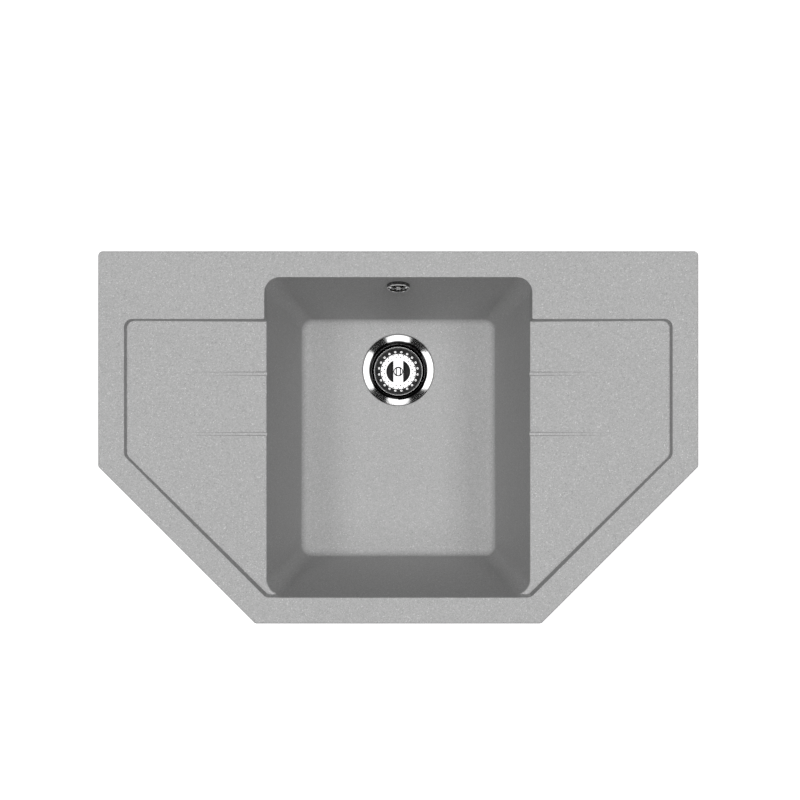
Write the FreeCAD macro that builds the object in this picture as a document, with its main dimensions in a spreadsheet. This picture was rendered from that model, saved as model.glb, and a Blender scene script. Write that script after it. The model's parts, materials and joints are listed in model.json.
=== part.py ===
"""Corner kitchen sink with drainer wings, basket strainer, overflow and worktop clamps.

Frame: millimetres, +Z up, +Y towards the long straight back edge, +X to the right.
The origin is the centre of the rim's outline, in the plane where the rim rests on the worktop.
"""
import FreeCAD, Part
import math
import os
import re
import Sketcher
from FreeCAD import Placement, Rotation, Vector

SIZES = (
    # the moulding in plan
    ("overall_length", 780, "rim, left to right"),
    ("overall_width", 484, "rim, back to front"),
    ("corner_cut", 204, "leg of each 45 degree front corner"),
    ("back_corner_radius", 6, "rim corners at the back"),
    ("cut_corner_radius", 5, "rim corners at the 45 degree edges"),
    ("rim_thickness", 9, "deck above the worktop"),
    ("rim_edge_radius", 3, "rounding of the rim's top edge"),
    ("wall", 8, "thickness of the moulding's walls"),
    # bowl
    ("bowl_length", 347.4, "bowl opening, left to right"),
    ("bowl_margin", 34.3, "rim edge to bowl, back and front"),
    ("bowl_depth", 200, "deck to the floor at the drain"),
    ("bowl_draft", 6, "lean of the bowl's walls, degrees"),
    ("bowl_corner_radius", 20, "bowl corners at the deck"),
    ("floor_corner_radius", 18, "bowl corners at the floor"),
    ("floor_edge_radius", 12, "rounding between walls and floor"),
    ("floor_fall", 1, "fall of the floor to the drain, degrees"),
    ("bowl_lip_radius", 2, "rounding where the drainer runs into the bowl"),
    ("deck_lip_radius", 0.6, "rounding of the deck's inner edges"),
    ("underside_radius", 14, "rounding under the bowl"),
    # drainer
    ("drainer_margin", 34.5, "rim edge to drainer, front and sides"),
    ("drainer_back_margin", 88.5, "rim edge to drainer, back"),
    ("drainer_depth_outside", 6.5, "drainer below the deck at its outer end"),
    ("drainer_depth_inside", 10, "drainer below the deck at the bowl"),
    ("drainer_draft", 10, "lean of the drainer's ledge, degrees"),
    ("drainer_corner_radius", 10.5, "corners of the drainer"),
    ("drainer_foot_radius", 0.8, "rounding at the foot of the ledge"),
    ("groove_width", 3.6, "flat bottom of a run-off groove"),
    ("groove_depth", 1.8, "run-off groove at the bowl"),
    ("groove_lean", 28, "lean of a groove's sides, degrees"),
    ("back_groove_place", 83.5, "back pair of grooves, from the middle"),
    ("back_groove_margin", 109, "rim edge to the tips of the back pair"),
    ("front_groove_place", 4.5, "front pair of grooves, from the middle"),
    ("front_groove_margin", 100, "rim edge to the tips of the front pair"),
    # drain in the bowl
    ("drain_inset", 99.7, "drain centre from the bowl's back edge"),
    ("drain_hole_diameter", 90, "hole through the bowl's floor"),
    ("flange_seat_diameter", 116, "shallow seat for the strainer flange"),
    ("flange_seat_depth", 3.8, "depth of that seat"),
    # strainer dish
    ("flange_diameter", 114, "strainer flange"),
    ("flange_fall", 2, "fall of the flange's face to the dish"),
    ("dish_top_radius", 43.2, "dish wall at the flange"),
    ("dish_shelf_radius", 41.6, "dish wall beside the basket's rim"),
    ("dish_shelf_depth", 17, "that place, below the floor"),
    ("dish_foot_radius", 38.2, "dish wall at the dish floor"),
    ("dish_depth", 36.3, "dish floor below the bowl's floor"),
    ("dish_sheet", 1.2, "sheet of the dish"),
    ("hub_well_radius", 13, "well in the dish floor for the centre screw"),
    ("hub_well_depth", 45, "floor of that well, below the bowl's floor"),
    ("drain_port_diameter", 10.5, "each drain port in the dish floor"),
    ("drain_port_circle", 22, "radius of the circle of ports"),
    ("drain_port_count", 8, "drain ports"),
    ("lower_gasket_thickness", 2.5, "washer under the moulding"),
    # basket
    ("basket_rim_radius", 40.4, "outside of the basket's rolled rim"),
    ("basket_rim_bead", 2.6, "thickness of the rolled rim"),
    ("basket_rim_depth", 16, "top of the rim below the bowl's floor"),
    ("basket_base_depth", 24, "top of the basket's base below the bowl's floor"),
    ("basket_base_radius", 27.6, "edge of the flat base"),
    ("basket_sheet", 0.8, "sheet of the basket"),
    ("finger_hole_radius", 19.8, "round opening that the bridge crosses"),
    ("bridge_width", 21.4, "bridge across the opening"),
    ("bridge_depth", 5, "height of the bridge's folded sides"),
    ("bridge_edge_radius", 3.2, "rounding of the bridge's long edges"),
    ("wall_hole_diameter", 3, "holes in the basket's wall"),
    ("wall_hole_circle", 31.9, "radius of their circle"),
    ("base_hole_diameter", 2.1, "holes in the basket's base"),
    ("inner_hole_circle", 23, "radius of the inner circle of base holes"),
    ("outer_hole_circle", 27.2, "radius of the outer circle of base holes"),
    ("holes_per_circle", 20, "holes in each circle"),
    # stopper and the screws in the middle
    ("stopper_rest_gap", 0.3, "stopper above the dish floor when closed"),
    ("stopper_radius", 29, "rubber disc"),
    ("stopper_thickness", 3.6, "rubber disc"),
    ("stopper_washer_radius", 9, "washer on the rubber disc"),
    ("stopper_washer_thickness", 1.2, "washer on the rubber disc"),
    ("spacer_radius", 5, "tube between basket and stopper"),
    ("pin_radius", 3, "basket screw and guide pin"),
    ("pin_depth", 56, "tip of the guide pin below the bowl's floor"),
    ("basket_head_radius", 7.9, "slotted head of the basket screw"),
    ("basket_head_height", 2.6, "slotted head of the basket screw"),
    ("slot_width", 6.4, "coin slot in that head, at its bottom"),
    ("slot_length", 10.6, "coin slot in that head, at its bottom"),
    ("slot_depth", 1.2, "coin slot in that head; its sides lean 45 degrees"),
    ("nut_across_flats", 10, "nut under the stopper"),
    ("nut_height", 4, "nut under the stopper"),
    ("centre_screw_radius", 5, "M10 thread of the centre screw"),
    ("centre_head_radius", 9, "head of the centre screw"),
    ("centre_head_height", 3, "head of the centre screw"),
    ("centre_screw_length", 24, "thread below the dish"),
    ("insert_radius", 8, "brass insert of the waste body"),
    ("insert_length", 16, "brass insert of the waste body"),
    # waste body
    ("waste_flange_radius", 54, "clamping flange under the moulding"),
    ("waste_flange_thickness", 4, "clamping flange"),
    ("waste_cup_radius", 47.5, "outside of the cup"),
    ("waste_wall", 2.5, "wall of the cup"),
    ("waste_cup_depth", 52, "foot of the cup's straight wall, below the bowl's floor"),
    ("waste_cone_depth", 66, "end of the cone, below the bowl's floor"),
    ("outlet_diameter", 47.8, "G 1 1/2 outlet thread"),
    ("outlet_bore", 40.6, "bore of the outlet"),
    ("outlet_depth", 92, "end of the outlet, below the bowl's floor"),
    ("hub_radius", 11.5, "hub that holds the brass insert"),
    ("spoke_count", 4, "spokes between hub and cup"),
    ("spoke_thickness", 4, "spokes between hub and cup"),
    ("inlet_depth", 29, "axis of the side inlet, below the bowl's floor"),
    ("inlet_length", 8, "side inlet, from the cup's wall"),
    # overflow
    ("overflow_depth", 31, "overflow centre below the deck"),
    ("overflow_hole_diameter", 25, "hole through the back wall"),
    ("rosette_diameter", 31, "overflow rosette"),
    ("rosette_height", 5.5, "rosette in front of the wall"),
    ("rosette_ring", 2, "width of its ring"),
    ("rosette_arm", 1.6, "width of each arm of its cross"),
    ("rosette_arm_count", 4, "arms of its cross"),
    ("rosette_hub_radius", 3.6, "middle of its cross"),
    ("overflow_seal_thickness", 2, "seal behind the wall"),
    ("elbow_radius", 17.5, "chamber of the overflow elbow"),
    ("elbow_depth", 14, "chamber, front to back"),
    ("elbow_wall", 2, "wall of the elbow"),
    ("overflow_screw_radius", 2, "M4 overflow screw"),
    ("overflow_head_radius", 3.3, "head of that screw"),
    ("spigot_place", 17, "axis of the spigot behind the bowl's face"),
    ("spigot_end", 62, "end of the spigot below the worktop's surface"),
    ("hose_radius", 9.5, "outside of the ribs"),
    ("hose_valley_radius", 8.4, "between the ribs and at the plain ends"),
    ("hose_bore", 14, "bore of the hose"),
    ("hose_bend_radius", 36.7, "bend of the hose"),
    ("hose_plain_end", 19, "plain length at each end"),
    ("rib_pitch", 4, "one rib to the next"),
    ("nut_grip_radius", 11, "outside of the hose nuts"),
    ("hose_nut_length", 14, "hose nuts"),
    ("hose_seal_thickness", 2, "cone seals in the hose nuts"),
    # clamps
    ("clamp_inset", 17.5, "clamp screw from the rim's edge"),
    ("boss_radius", 7, "clamp boss"),
    ("boss_height", 16, "clamp boss below the rim"),
    ("back_clamp_inset", 100, "back clamps from the rim's ends"),
    ("side_clamp_inset", 132, "side clamps from the rim's back edge"),
    ("front_clamp_inset", 86, "front clamps from the ends of the front edge"),
    ("dowel_radius", 4, "nylon dowel"),
    ("dowel_depth", 4, "top of the dowel above the worktop"),
    ("dowel_collar_radius", 5.5, "collar of the dowel"),
    ("dowel_collar_height", 1.5, "collar of the dowel"),
    ("clamp_screw_radius", 2.5, "M5 clamp screw"),
    ("clamp_screw_top", -6, "top of the screw at rest"),
    ("clamp_head_radius", 4.5, "head of the clamp screw"),
    ("clamp_head_height", 3.2, "head of the clamp screw"),
    ("worktop_thickness", 38, "worktop that the claws reach under"),
    ("claw_clearance", 0.5, "claw below that worktop at rest"),
    ("claw_sheet", 2.5, "sheet of the claw"),
    ("claw_drop", 9, "tooth of the claw above its base"),
    ("claw_reach", 22, "tooth from the screw"),
    ("claw_heel", 7, "heel from the screw"),
    ("claw_heel_height", 16, "heel above the claw's base"),
    ("claw_width", 14, "width of the claw"),
    # fits
    ("running_fit", 0.05, "radial clearance of shafts and plugs"),
    ("seat_gap", 0.2, "clearance between seated round parts"),
)

doc = FreeCAD.newDocument("corner_sink")
sheet = doc.addObject("Spreadsheet::Sheet", "sizes")
for row, (alias, size, note) in enumerate(SIZES, start=1):
    sheet.set(f"A{row}", note)
    sheet.set(f"B{row}", str(size))
    sheet.setAlias(f"B{row}", alias)
doc.recompute()

ALIASES = {alias for alias, size, note in SIZES}
OVERCUT = 5
CROSSING = 400
sub_parts = []


# ---------------------------------------------------------------- expressions and features

def bound(expression):
    """The expression as objects outside the sheet read it."""
    return re.sub(r"[a-z]\w*", lambda word: ("sizes." if word[0] in ALIASES else "") + word[0],
                  str(expression))


def number(expression):
    """The value of an expression, in millimetres or degrees."""
    return float(sheet.evalExpression(str(expression)))


def new_body(label, exported=True):
    body = doc.addObject("PartDesign::Body", label)
    body.Label = label
    if exported:
        sub_parts.append(body)
    return body


def place(body, x="0", y="0", z="0", turn=None):
    """Put a body at a point; turn is an axis and an angle."""
    if turn:
        axis, angle = turn
        body.Placement = Placement(Vector(), Rotation(axis, number(angle)))
        body.setExpression("Placement.Rotation.Angle", bound(angle))
    for letter, expression in (("x", x), ("y", y), ("z", z)):
        body.setExpression(f"Placement.Base.{letter}", bound(expression))


def origin_plane(body, role):
    return next(plane for plane in body.Origin.OriginFeatures if plane.Role == role)


def empty_sketch(body, name, role, level):
    sketch = body.newObject("Sketcher::SketchObject", name)
    sketch.AttachmentSupport = [(origin_plane(body, role), "")]
    sketch.MapMode = "FlatFace"
    sketch.setExpression("AttachmentOffset.Base.z", bound(level))
    return sketch


def drive(sketch, constraints):
    """Add (constraint, expression) pairs and bind each to the sheet."""
    indices = sketch.addConstraint([constraint for constraint, expression in constraints])
    for index, (constraint, expression) in zip(indices, constraints):
        if expression is not None:
            sketch.renameConstraint(index, f"size_{index}")
            sketch.setExpression(f"Constraints.size_{index}", bound(expression))


def outline(body, name, corners, role="XY_Plane", level="0"):
    """A closed outline through corners (x, y) or (x, y, radius), all of them expressions."""
    sketch = empty_sketch(body, name, role, level)
    corners = [(tuple(corner) + ("0",))[:3] for corner in corners]
    count = len(corners)
    points = [Vector(number(x), number(y), 0) for x, y, radius in corners]
    radii = [number(radius) for x, y, radius in corners]
    sides = [(points[(i + 1) % count] - points[i]).normalize() for i in range(count)]
    turns = [math.atan2(sides[i - 1].cross(sides[i]).z, sides[i - 1].dot(sides[i])) for i in range(count)]
    trims = [radii[i] * math.tan(abs(turns[i]) / 2) for i in range(count)]
    for i in range(count):
        last = (i + 1) % count
        sketch.addGeometry(Part.LineSegment(points[i] + sides[i] * trims[i],
                                            points[last] - sides[i] * trims[last]))
    constraints = []
    for i, (x, y, radius) in enumerate(corners):
        before, after = (i - 1) % count, i
        if radii[i] == 0:
            constraints.append((Sketcher.Constraint("Coincident", before, 2, after, 1), None))
            corner, end = after, 1
        else:
            corner, end = sketch.addGeometry(Part.Point(points[i]), True), 1
            constraints.append((Sketcher.Constraint("PointOnObject", corner, 1, before), None))
            constraints.append((Sketcher.Constraint("PointOnObject", corner, 1, after), None))
            arc = add_corner_arc(sketch, points[i], sides[before], sides[after], turns[i], radii[i])
            enters, leaves = (1, 2) if turns[i] > 0 else (2, 1)
            constraints.append((Sketcher.Constraint("Tangent", before, 2, arc, enters), None))
            constraints.append((Sketcher.Constraint("Tangent", arc, leaves, after, 1), None))
            constraints.append((Sketcher.Constraint("Radius", arc, radii[i]), radius))
        constraints.append((Sketcher.Constraint("DistanceX", -1, 1, corner, end, points[i].x), x))
        constraints.append((Sketcher.Constraint("DistanceY", -1, 1, corner, end, points[i].y), y))
    drive(sketch, constraints)
    return sketch


def add_corner_arc(sketch, corner, arriving, leaving, turn, radius):
    """The arc that rounds one corner of an outline."""
    inward = (leaving - arriving).normalize()
    centre = corner + inward * (radius / math.cos(turn / 2))
    spokes = [corner - arriving * radius * math.tan(abs(turn) / 2) - centre,
              corner + leaving * radius * math.tan(abs(turn) / 2) - centre]
    angles = [math.atan2(spoke.y, spoke.x) for spoke in spokes]
    if turn < 0:
        angles.reverse()
    circle = Part.Circle(centre, Vector(0, 0, 1), radius)
    return sketch.addGeometry(Part.ArcOfCircle(circle, angles[0], angles[1]))


def circles(body, name, places, role="XY_Plane", level="0"):
    """Circles (x, y, radius), all of them expressions."""
    sketch = empty_sketch(body, name, role, level)
    constraints = []
    for x, y, radius in places:
        circle = Part.Circle(Vector(number(x), number(y), 0), Vector(0, 0, 1), number(radius))
        index = sketch.addGeometry(circle)
        constraints.append((Sketcher.Constraint("Radius", index, number(radius)), radius))
        constraints.append((Sketcher.Constraint("DistanceX", -1, 1, index, 3, number(x)), x))
        constraints.append((Sketcher.Constraint("DistanceY", -1, 1, index, 3, number(y)), y))
    drive(sketch, constraints)
    return sketch


def finish(feature, volume_before=None, adds=True):
    """Recompute, and stop where a feature failed or changed nothing."""
    doc.recompute()
    broken = {"Invalid", "Error"} & set(feature.State)
    if broken or feature.Shape.isNull():
        raise RuntimeError(f"{feature.Name} failed")
    if volume_before is not None:
        gained = feature.Shape.Volume - volume_before
        if (gained > 0) != adds:
            raise RuntimeError(f"{feature.Name} changed the volume by {gained}")
    return feature


def volume(body):
    doc.recompute()
    return body.Shape.Volume if body.Tip else 0.0


def pad(body, sketch, length, reverse=False, both_ways=False):
    before = volume(body)
    feature = body.newObject("PartDesign::Pad", sketch.Name + "_pad")
    feature.Profile = sketch
    feature.setExpression("Length", bound(length))
    feature.Reversed = reverse
    feature.Midplane = both_ways
    return finish(feature, before)


def pocket(body, sketch, length, reverse=False, both_ways=False):
    before = volume(body)
    feature = body.newObject("PartDesign::Pocket", sketch.Name + "_pocket")
    feature.Profile = sketch
    feature.setExpression("Length", bound(length))
    feature.Reversed = reverse
    feature.Midplane = both_ways
    return finish(feature, before, adds=False)


def turned(body, sketch, cut=False):
    """Revolve a sketch about its own vertical axis, to add or to cut."""
    before = volume(body)
    kind = "Groove" if cut else "Revolution"
    feature = body.newObject(f"PartDesign::{kind}", f"{sketch.Name}_{kind.lower()}")
    feature.Profile = sketch
    feature.ReferenceAxis = (sketch, ["V_Axis"])
    feature.Angle = 360
    return finish(feature, before, adds=not cut)


def loft(body, sketches, cut=False):
    """Straight-ruled loft between sketches, to add or to cut."""
    before = volume(body)
    kind = "Subtractive" if cut else "Additive"
    feature = body.newObject(f"PartDesign::{kind}Loft", sketches[0].Name + "_loft")
    feature.Profile = sketches[0]
    feature.Sections = sketches[1:]
    feature.Ruled = True
    return finish(feature, before, adds=not cut)


def rounded(body, radius, chosen):
    """Round the edges of the body's tip for which chosen(edge) is true."""
    base = body.Tip
    names = [f"Edge{i}" for i, edge in enumerate(base.Shape.Edges, start=1) if chosen(edge)]
    feature = body.newObject("PartDesign::Fillet", "rounding")
    feature.Base = (base, names)
    feature.setExpression("Radius", bound(radius))
    return finish(feature)


def circular_copies(body, feature, axis_owner, count):
    """Repeat the last feature about an axis of the body's origin."""
    pattern = body.newObject("PartDesign::PolarPattern", feature.Name + "_circle")
    pattern.Originals = [feature]
    axis = next(line for line in body.Origin.OriginFeatures if line.Role == axis_owner)
    pattern.Axis = (axis, [""])
    pattern.Angle = 360
    pattern.setExpression("Occurrences", bound(count))
    body.Tip = pattern
    return finish(pattern)


def tube(body, name, inner, outer, top, bottom):
    """A straight ring about the body's vertical axis."""
    ring = outline(body, name, [(inner, bottom), (outer, bottom), (outer, top), (inner, top)], "XZ_Plane")
    return turned(body, ring)


def flat_at(edge, level, tolerance=1e-4):
    box = edge.BoundBox
    return abs(box.ZMin - level) < tolerance and abs(box.ZMax - level) < tolerance


# ---------------------------------------------------------------- shared expressions

FLOOR = "(rim_thickness - bowl_depth)"
DECK = "rim_thickness"
BOWL_WIDTH = "(overall_width - 2 * bowl_margin)"
DRAIN_Y = f"({BOWL_WIDTH} / 2 - drain_inset)"


def sink_outline(margin, back_margin, back_radius, cut_radius):
    """The sink's plan outline, drawn in from the rim's edge by a margin."""
    side_x = f"(overall_length / 2 - {margin})"
    side_y = f"(corner_cut - overall_width / 2 + {margin} * tan(22.5))"
    front_x = f"(overall_length / 2 - corner_cut - {margin} * tan(22.5))"
    front_y = f"(overall_width / 2 - {margin})"
    back_y = f"(overall_width / 2 - {back_margin})"
    return [(side_x, back_y, back_radius), (f"-{side_x}", back_y, back_radius),
            (f"-{side_x}", side_y, cut_radius), (f"-{front_x}", f"-{front_y}", cut_radius),
            (front_x, f"-{front_y}", cut_radius), (side_x, side_y, cut_radius)]


def bowl_outline(drop, grow="0"):
    """The bowl's plan at a depth below the deck, grown outwards by a wall."""
    lean = f"({drop} * tan(bowl_draft))"
    x = f"(bowl_length / 2 - {lean} + {grow} / cos(bowl_draft))"
    y = f"({BOWL_WIDTH} / 2 - {lean} + {grow} / cos(bowl_draft))"
    radius = (f"(bowl_corner_radius + {grow}"
              f" - (bowl_corner_radius - floor_corner_radius) * {drop} / bowl_depth)")
    return [(x, y, radius), (f"-{x}", y, radius), (f"-{x}", f"-{y}", radius), (x, f"-{y}", radius)]


# ---------------------------------------------------------------- the moulding

def bowl_space():
    """What the bowl holds: drafted walls, rounded corners, a floor that falls to the drain."""
    body = new_body("bowl_space", exported=False)
    above = outline(body, "bowl_space_top", bowl_outline(f"-{OVERCUT}"), level=f"{DECK} + {OVERCUT}")
    below = outline(body, "bowl_space_bottom", bowl_outline("bowl_depth"), level=FLOOR)
    loft(body, [above, below])
    flat = "(flange_seat_diameter / 2)"
    rise = f"({CROSSING} * tan(floor_fall))"
    under_floor = outline(body, "bowl_floor_fall",
                          [(flat, FLOOR), (f"{flat} + {CROSSING}", f"{FLOOR} + {rise}"),
                           (f"{flat} + {CROSSING}", f"{FLOOR} - {OVERCUT}"), (flat, f"{FLOOR} - {OVERCUT}")],
                          "XZ_Plane", f"-{DRAIN_Y}")
    turned(body, under_floor, cut=True)
    top_of_fall = number(f"{FLOOR} + {rise}")

    def at_floor(edge):
        return edge.BoundBox.ZMax < top_of_fall and touches_wall(edge)

    def touches_wall(edge):
        middle = edge.valueAt((edge.FirstParameter + edge.LastParameter) / 2)
        drop = number(DECK) - middle.z
        lean = drop * math.tan(math.radians(number("bowl_draft")))
        reach = number("bowl_corner_radius")
        x_gap = number("bowl_length / 2") - lean - abs(middle.x)
        y_gap = number(f"{BOWL_WIDTH} / 2") - lean - abs(middle.y)
        return min(x_gap, y_gap) < reach / 2

    rounded(body, "floor_edge_radius", at_floor)
    return body


def drainer_space(side):
    """What one wing of the drainer holds; side is 1 for right, -1 for left."""
    name = "right" if side > 0 else "left"
    body = new_body(f"drainer_space_{name}", exported=False)
    depth = "(drainer_depth_inside + rim_edge_radius)"
    inner_x = "(bowl_length / 2 - 1.5 * bowl_corner_radius)"

    def wing(drop):
        margin = f"(drainer_margin + {drop} * tan(drainer_draft))"
        back = f"(drainer_back_margin + {drop} * tan(drainer_draft))"
        whole = sink_outline(margin, back, "drainer_corner_radius", "drainer_corner_radius")
        corners = [whole[0], (inner_x, whole[0][1]), (inner_x, whole[4][1]), whole[4], whole[5]]
        if side > 0:
            return corners
        return [(f"-{corner[0]}",) + tuple(corner[1:]) for corner in reversed(corners)]

    above = outline(body, f"drainer_top_{name}", wing(f"-{OVERCUT}"), level=f"{DECK} + {OVERCUT}")
    below = outline(body, f"drainer_bottom_{name}", wing(depth), level=f"{DECK} - {depth}")
    loft(body, [above, below])
    sign = "" if side > 0 else "-"
    low = f"{DECK} - {depth} - {OVERCUT}"
    under_floor = outline(body, f"drainer_fall_{name}",
                          [("0", drainer_level("0")), (f"{sign}{DRAINER_END}", drainer_level(DRAINER_END)),
                           (f"{sign}{DRAINER_END}", low), ("0", low)], "XZ_Plane")
    pocket(body, under_floor, "2 * overall_width", both_ways=True)
    highest = number(f"{DECK} - drainer_depth_outside") + 0.01
    inner = number(inner_x)

    def at_foot(edge):
        box = edge.BoundBox
        across = box.XLength < 1e-3 and abs(abs(box.XMin) - inner) < 1e-3
        return box.ZMax < highest and not across

    rounded(body, "drainer_foot_radius", at_foot)
    return body


BACK_CLAMP_X = "(overall_length / 2 - back_clamp_inset)"
FRONT_CLAMP_X = "(overall_length / 2 - corner_cut - front_clamp_inset)"
EDGE_CLAMP_X = "(overall_length / 2 - clamp_inset)"
EDGE_CLAMP_Y = "(overall_width / 2 - clamp_inset)"
SIDE_CLAMP_Y = "(overall_width / 2 - side_clamp_inset)"
CUT_CLAMP_X = "(overall_length / 2 - corner_cut / 2 - clamp_inset * cos(45))"
CUT_CLAMP_Y = "(overall_width / 2 - corner_cut / 2 - clamp_inset * cos(45))"

CLAMPS = (
    # x, y and the way out of the sink, in degrees
    (BACK_CLAMP_X, EDGE_CLAMP_Y, "90"),
    (f"-{BACK_CLAMP_X}", EDGE_CLAMP_Y, "90"),
    (f"-{EDGE_CLAMP_X}", SIDE_CLAMP_Y, "180"),
    (f"-{CUT_CLAMP_X}", f"-{CUT_CLAMP_Y}", "225"),
    (f"-{FRONT_CLAMP_X}", f"-{EDGE_CLAMP_Y}", "270"),
    (FRONT_CLAMP_X, f"-{EDGE_CLAMP_Y}", "270"),
    (CUT_CLAMP_X, f"-{CUT_CLAMP_Y}", "315"),
    (EDGE_CLAMP_X, SIDE_CLAMP_Y, "0"),
)

OVERFLOW_Y = f"({BOWL_WIDTH} / 2 - overflow_depth * tan(bowl_draft))"
OVERFLOW_Z = "(rim_thickness - overflow_depth)"
INTO_BOWL = (Vector(1, 0, 0), "90 - bowl_draft")


def cut_cylinder(body, name, radius, length, start, direction):
    """Cut a round hole from a start point along a direction."""
    before = volume(body)
    hole = body.newObject("PartDesign::SubtractiveCylinder", name)
    hole.setExpression("Radius", bound(radius))
    hole.setExpression("Height", bound(length))
    hole.Placement = Placement(start, Rotation(Vector(0, 0, 1), direction))
    return finish(hole, before, adds=False)


DRAINER_END = "(overall_length / 2 - drainer_margin)"
DRAINER_FALL = f"((drainer_depth_inside - drainer_depth_outside) / ({DRAINER_END} - bowl_length / 2))"


def drainer_level(x):
    """The drainer's surface at a distance from the middle."""
    return f"({DECK} - drainer_depth_inside + ({x} - bowl_length / 2) * {DRAINER_FALL})"


def run_off_groove(body, name, side, place_y, margin):
    """A flat-bottomed groove that starts at nothing and deepens towards the bowl."""
    tip = f"(overall_length / 2 - {margin})"
    mouth = f"(bowl_length / 2 - {OVERCUT})"
    slope = f"(groove_depth / ({tip} - bowl_length / 2))"

    def section(x, suffix):
        bottom = f"({drainer_level(x)} - ({tip} - {x}) * {slope})"
        half = "(groove_width / 2)"
        corners = [(f"{place_y} - {half}", bottom), (f"{place_y} + {half}", bottom),
                   (f"{place_y} + {half} + {OVERCUT} * tan(groove_lean)", f"{bottom} + {OVERCUT}"),
                   (f"{place_y} - {half} - {OVERCUT} * tan(groove_lean)", f"{bottom} + {OVERCUT}")]
        level = x if side > 0 else f"-{x}"
        return outline(body, f"{name}_{suffix}", corners, "YZ_Plane", level)

    loft(body, [section(mouth, "mouth"), section(tip, "tip")], cut=True)


def sink_basin():
    body = new_body("sink_basin")
    rim = sink_outline("0", "0", "back_corner_radius", "cut_corner_radius")
    pad(body, outline(body, "rim_outline", rim), "rim_thickness")
    shelf = sink_outline("(drainer_margin - wall)", "(drainer_back_margin - wall)",
                         "(drainer_corner_radius + wall)", "(drainer_corner_radius + wall)")
    pad(body, outline(body, "drainer_underside", shelf),
        "wall + drainer_depth_inside - rim_thickness", reverse=True)
    top = outline(body, "bowl_outside_top", bowl_outline(DECK, "wall"))
    bottom = outline(body, "bowl_outside_bottom", bowl_outline("(bowl_depth + wall)", "wall"),
                     level=f"{FLOOR} - wall")
    loft(body, [top, bottom])
    underside = number(f"{FLOOR} - wall")
    rounded(body, "underside_radius", lambda edge: flat_at(edge, underside))
    bosses = circles(body, "clamp_bosses", [(x, y, "boss_radius") for x, y, out in CLAMPS])
    pad(body, bosses, "boss_height", reverse=True)
    hollow_out(body)
    round_the_lips(body)
    for side in (-1, 1):
        name = "right" if side > 0 else "left"
        run_off_groove(body, f"back_groove_{name}", side, "back_groove_place", "back_groove_margin")
        run_off_groove(body, f"front_groove_{name}", side, "front_groove_place", "front_groove_margin")
    drain = outline(body, "drain_hole",
                    [("0", f"{FLOOR} + {OVERCUT}"), ("flange_seat_diameter / 2", f"{FLOOR} + {OVERCUT}"),
                     ("flange_seat_diameter / 2", f"{FLOOR} - flange_seat_depth"),
                     ("drain_hole_diameter / 2", f"{FLOOR} - flange_seat_depth"),
                     ("drain_hole_diameter / 2", f"{FLOOR} - wall - {OVERCUT}"),
                     ("0", f"{FLOOR} - wall - {OVERCUT}")], "XZ_Plane", f"-{DRAIN_Y}")
    turned(body, drain, cut=True)
    lean = math.radians(number("bowl_draft"))
    outwards = Vector(0, math.cos(lean), -math.sin(lean))
    centre = Vector(0, number(OVERFLOW_Y), number(OVERFLOW_Z))
    cut_cylinder(body, "overflow_hole", "overflow_hole_diameter / 2", f"wall + 2 * {OVERCUT}",
                 centre - outwards * OVERCUT, outwards)
    dowel_holes = circles(body, "dowel_holes", [(x, y, "dowel_radius + running_fit") for x, y, out in CLAMPS],
                          level="-boss_height")
    pocket(body, dowel_holes, "boss_height + dowel_depth + seat_gap", reverse=True)
    return body


def hollow_out(body):
    """Cut the bowl and both wings of the drainer out of the moulding."""
    before = volume(body)
    spaces = body.newObject("PartDesign::Boolean", "bowl_and_drainer")
    spaces.Type = "Cut"
    spaces.setObjects([bowl_space(), drainer_space(-1), drainer_space(1)])
    finish(spaces, before, adds=False)


def round_the_lips(body):
    """Round the edge from drainer to bowl, the deck's inner edge, and the rim's edge."""
    deck = number(DECK)
    lowest = deck - number("drainer_depth_inside")
    half_length, half_width = number("overall_length / 2"), number("overall_width / 2")
    cut_line = half_length + half_width - number("corner_cut")
    bowl_x, bowl_y = number("bowl_length / 2"), number(f"{BOWL_WIDTH} / 2")
    corner = number("bowl_corner_radius")
    near = 2

    def middle(edge):
        return edge.valueAt((edge.FirstParameter + edge.LastParameter) / 2)

    def into_bowl(edge):
        box, point = edge.BoundBox, middle(edge)
        beside = abs(abs(point.x) - bowl_x) < near and abs(point.y) < bowl_y
        around = bowl_x - corner < abs(point.x) < bowl_x and corner / 2 > bowl_y + point.y > 0
        return abs(box.ZMin - lowest) < near / 4 and box.ZLength < near / 4 and (beside or around)

    def on_rim(edge):
        point = middle(edge)
        gaps = (half_length - abs(point.x), half_width - abs(point.y),
                (cut_line - abs(point.x) + point.y) / math.sqrt(2))
        return flat_at(edge, deck) and min(gaps) < near

    rounded(body, "bowl_lip_radius", into_bowl)
    rounded(body, "deck_lip_radius", lambda edge: flat_at(edge, deck) and not on_rim(edge))
    rounded(body, "rim_edge_radius", on_rim)


# ---------------------------------------------------------------- strainer and waste
# These parts are drawn about the drain's axis, from the bowl's floor downwards.

def at_drain(body):
    place(body, y=DRAIN_Y, z=FLOOR)
    return body


FLANGE_EDGE = "(flange_fall / 10)"
FLANGE_SLOPE = f"((flange_fall - {FLANGE_EDGE}) / (flange_diameter / 2 - dish_top_radius - dish_sheet))"


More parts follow.
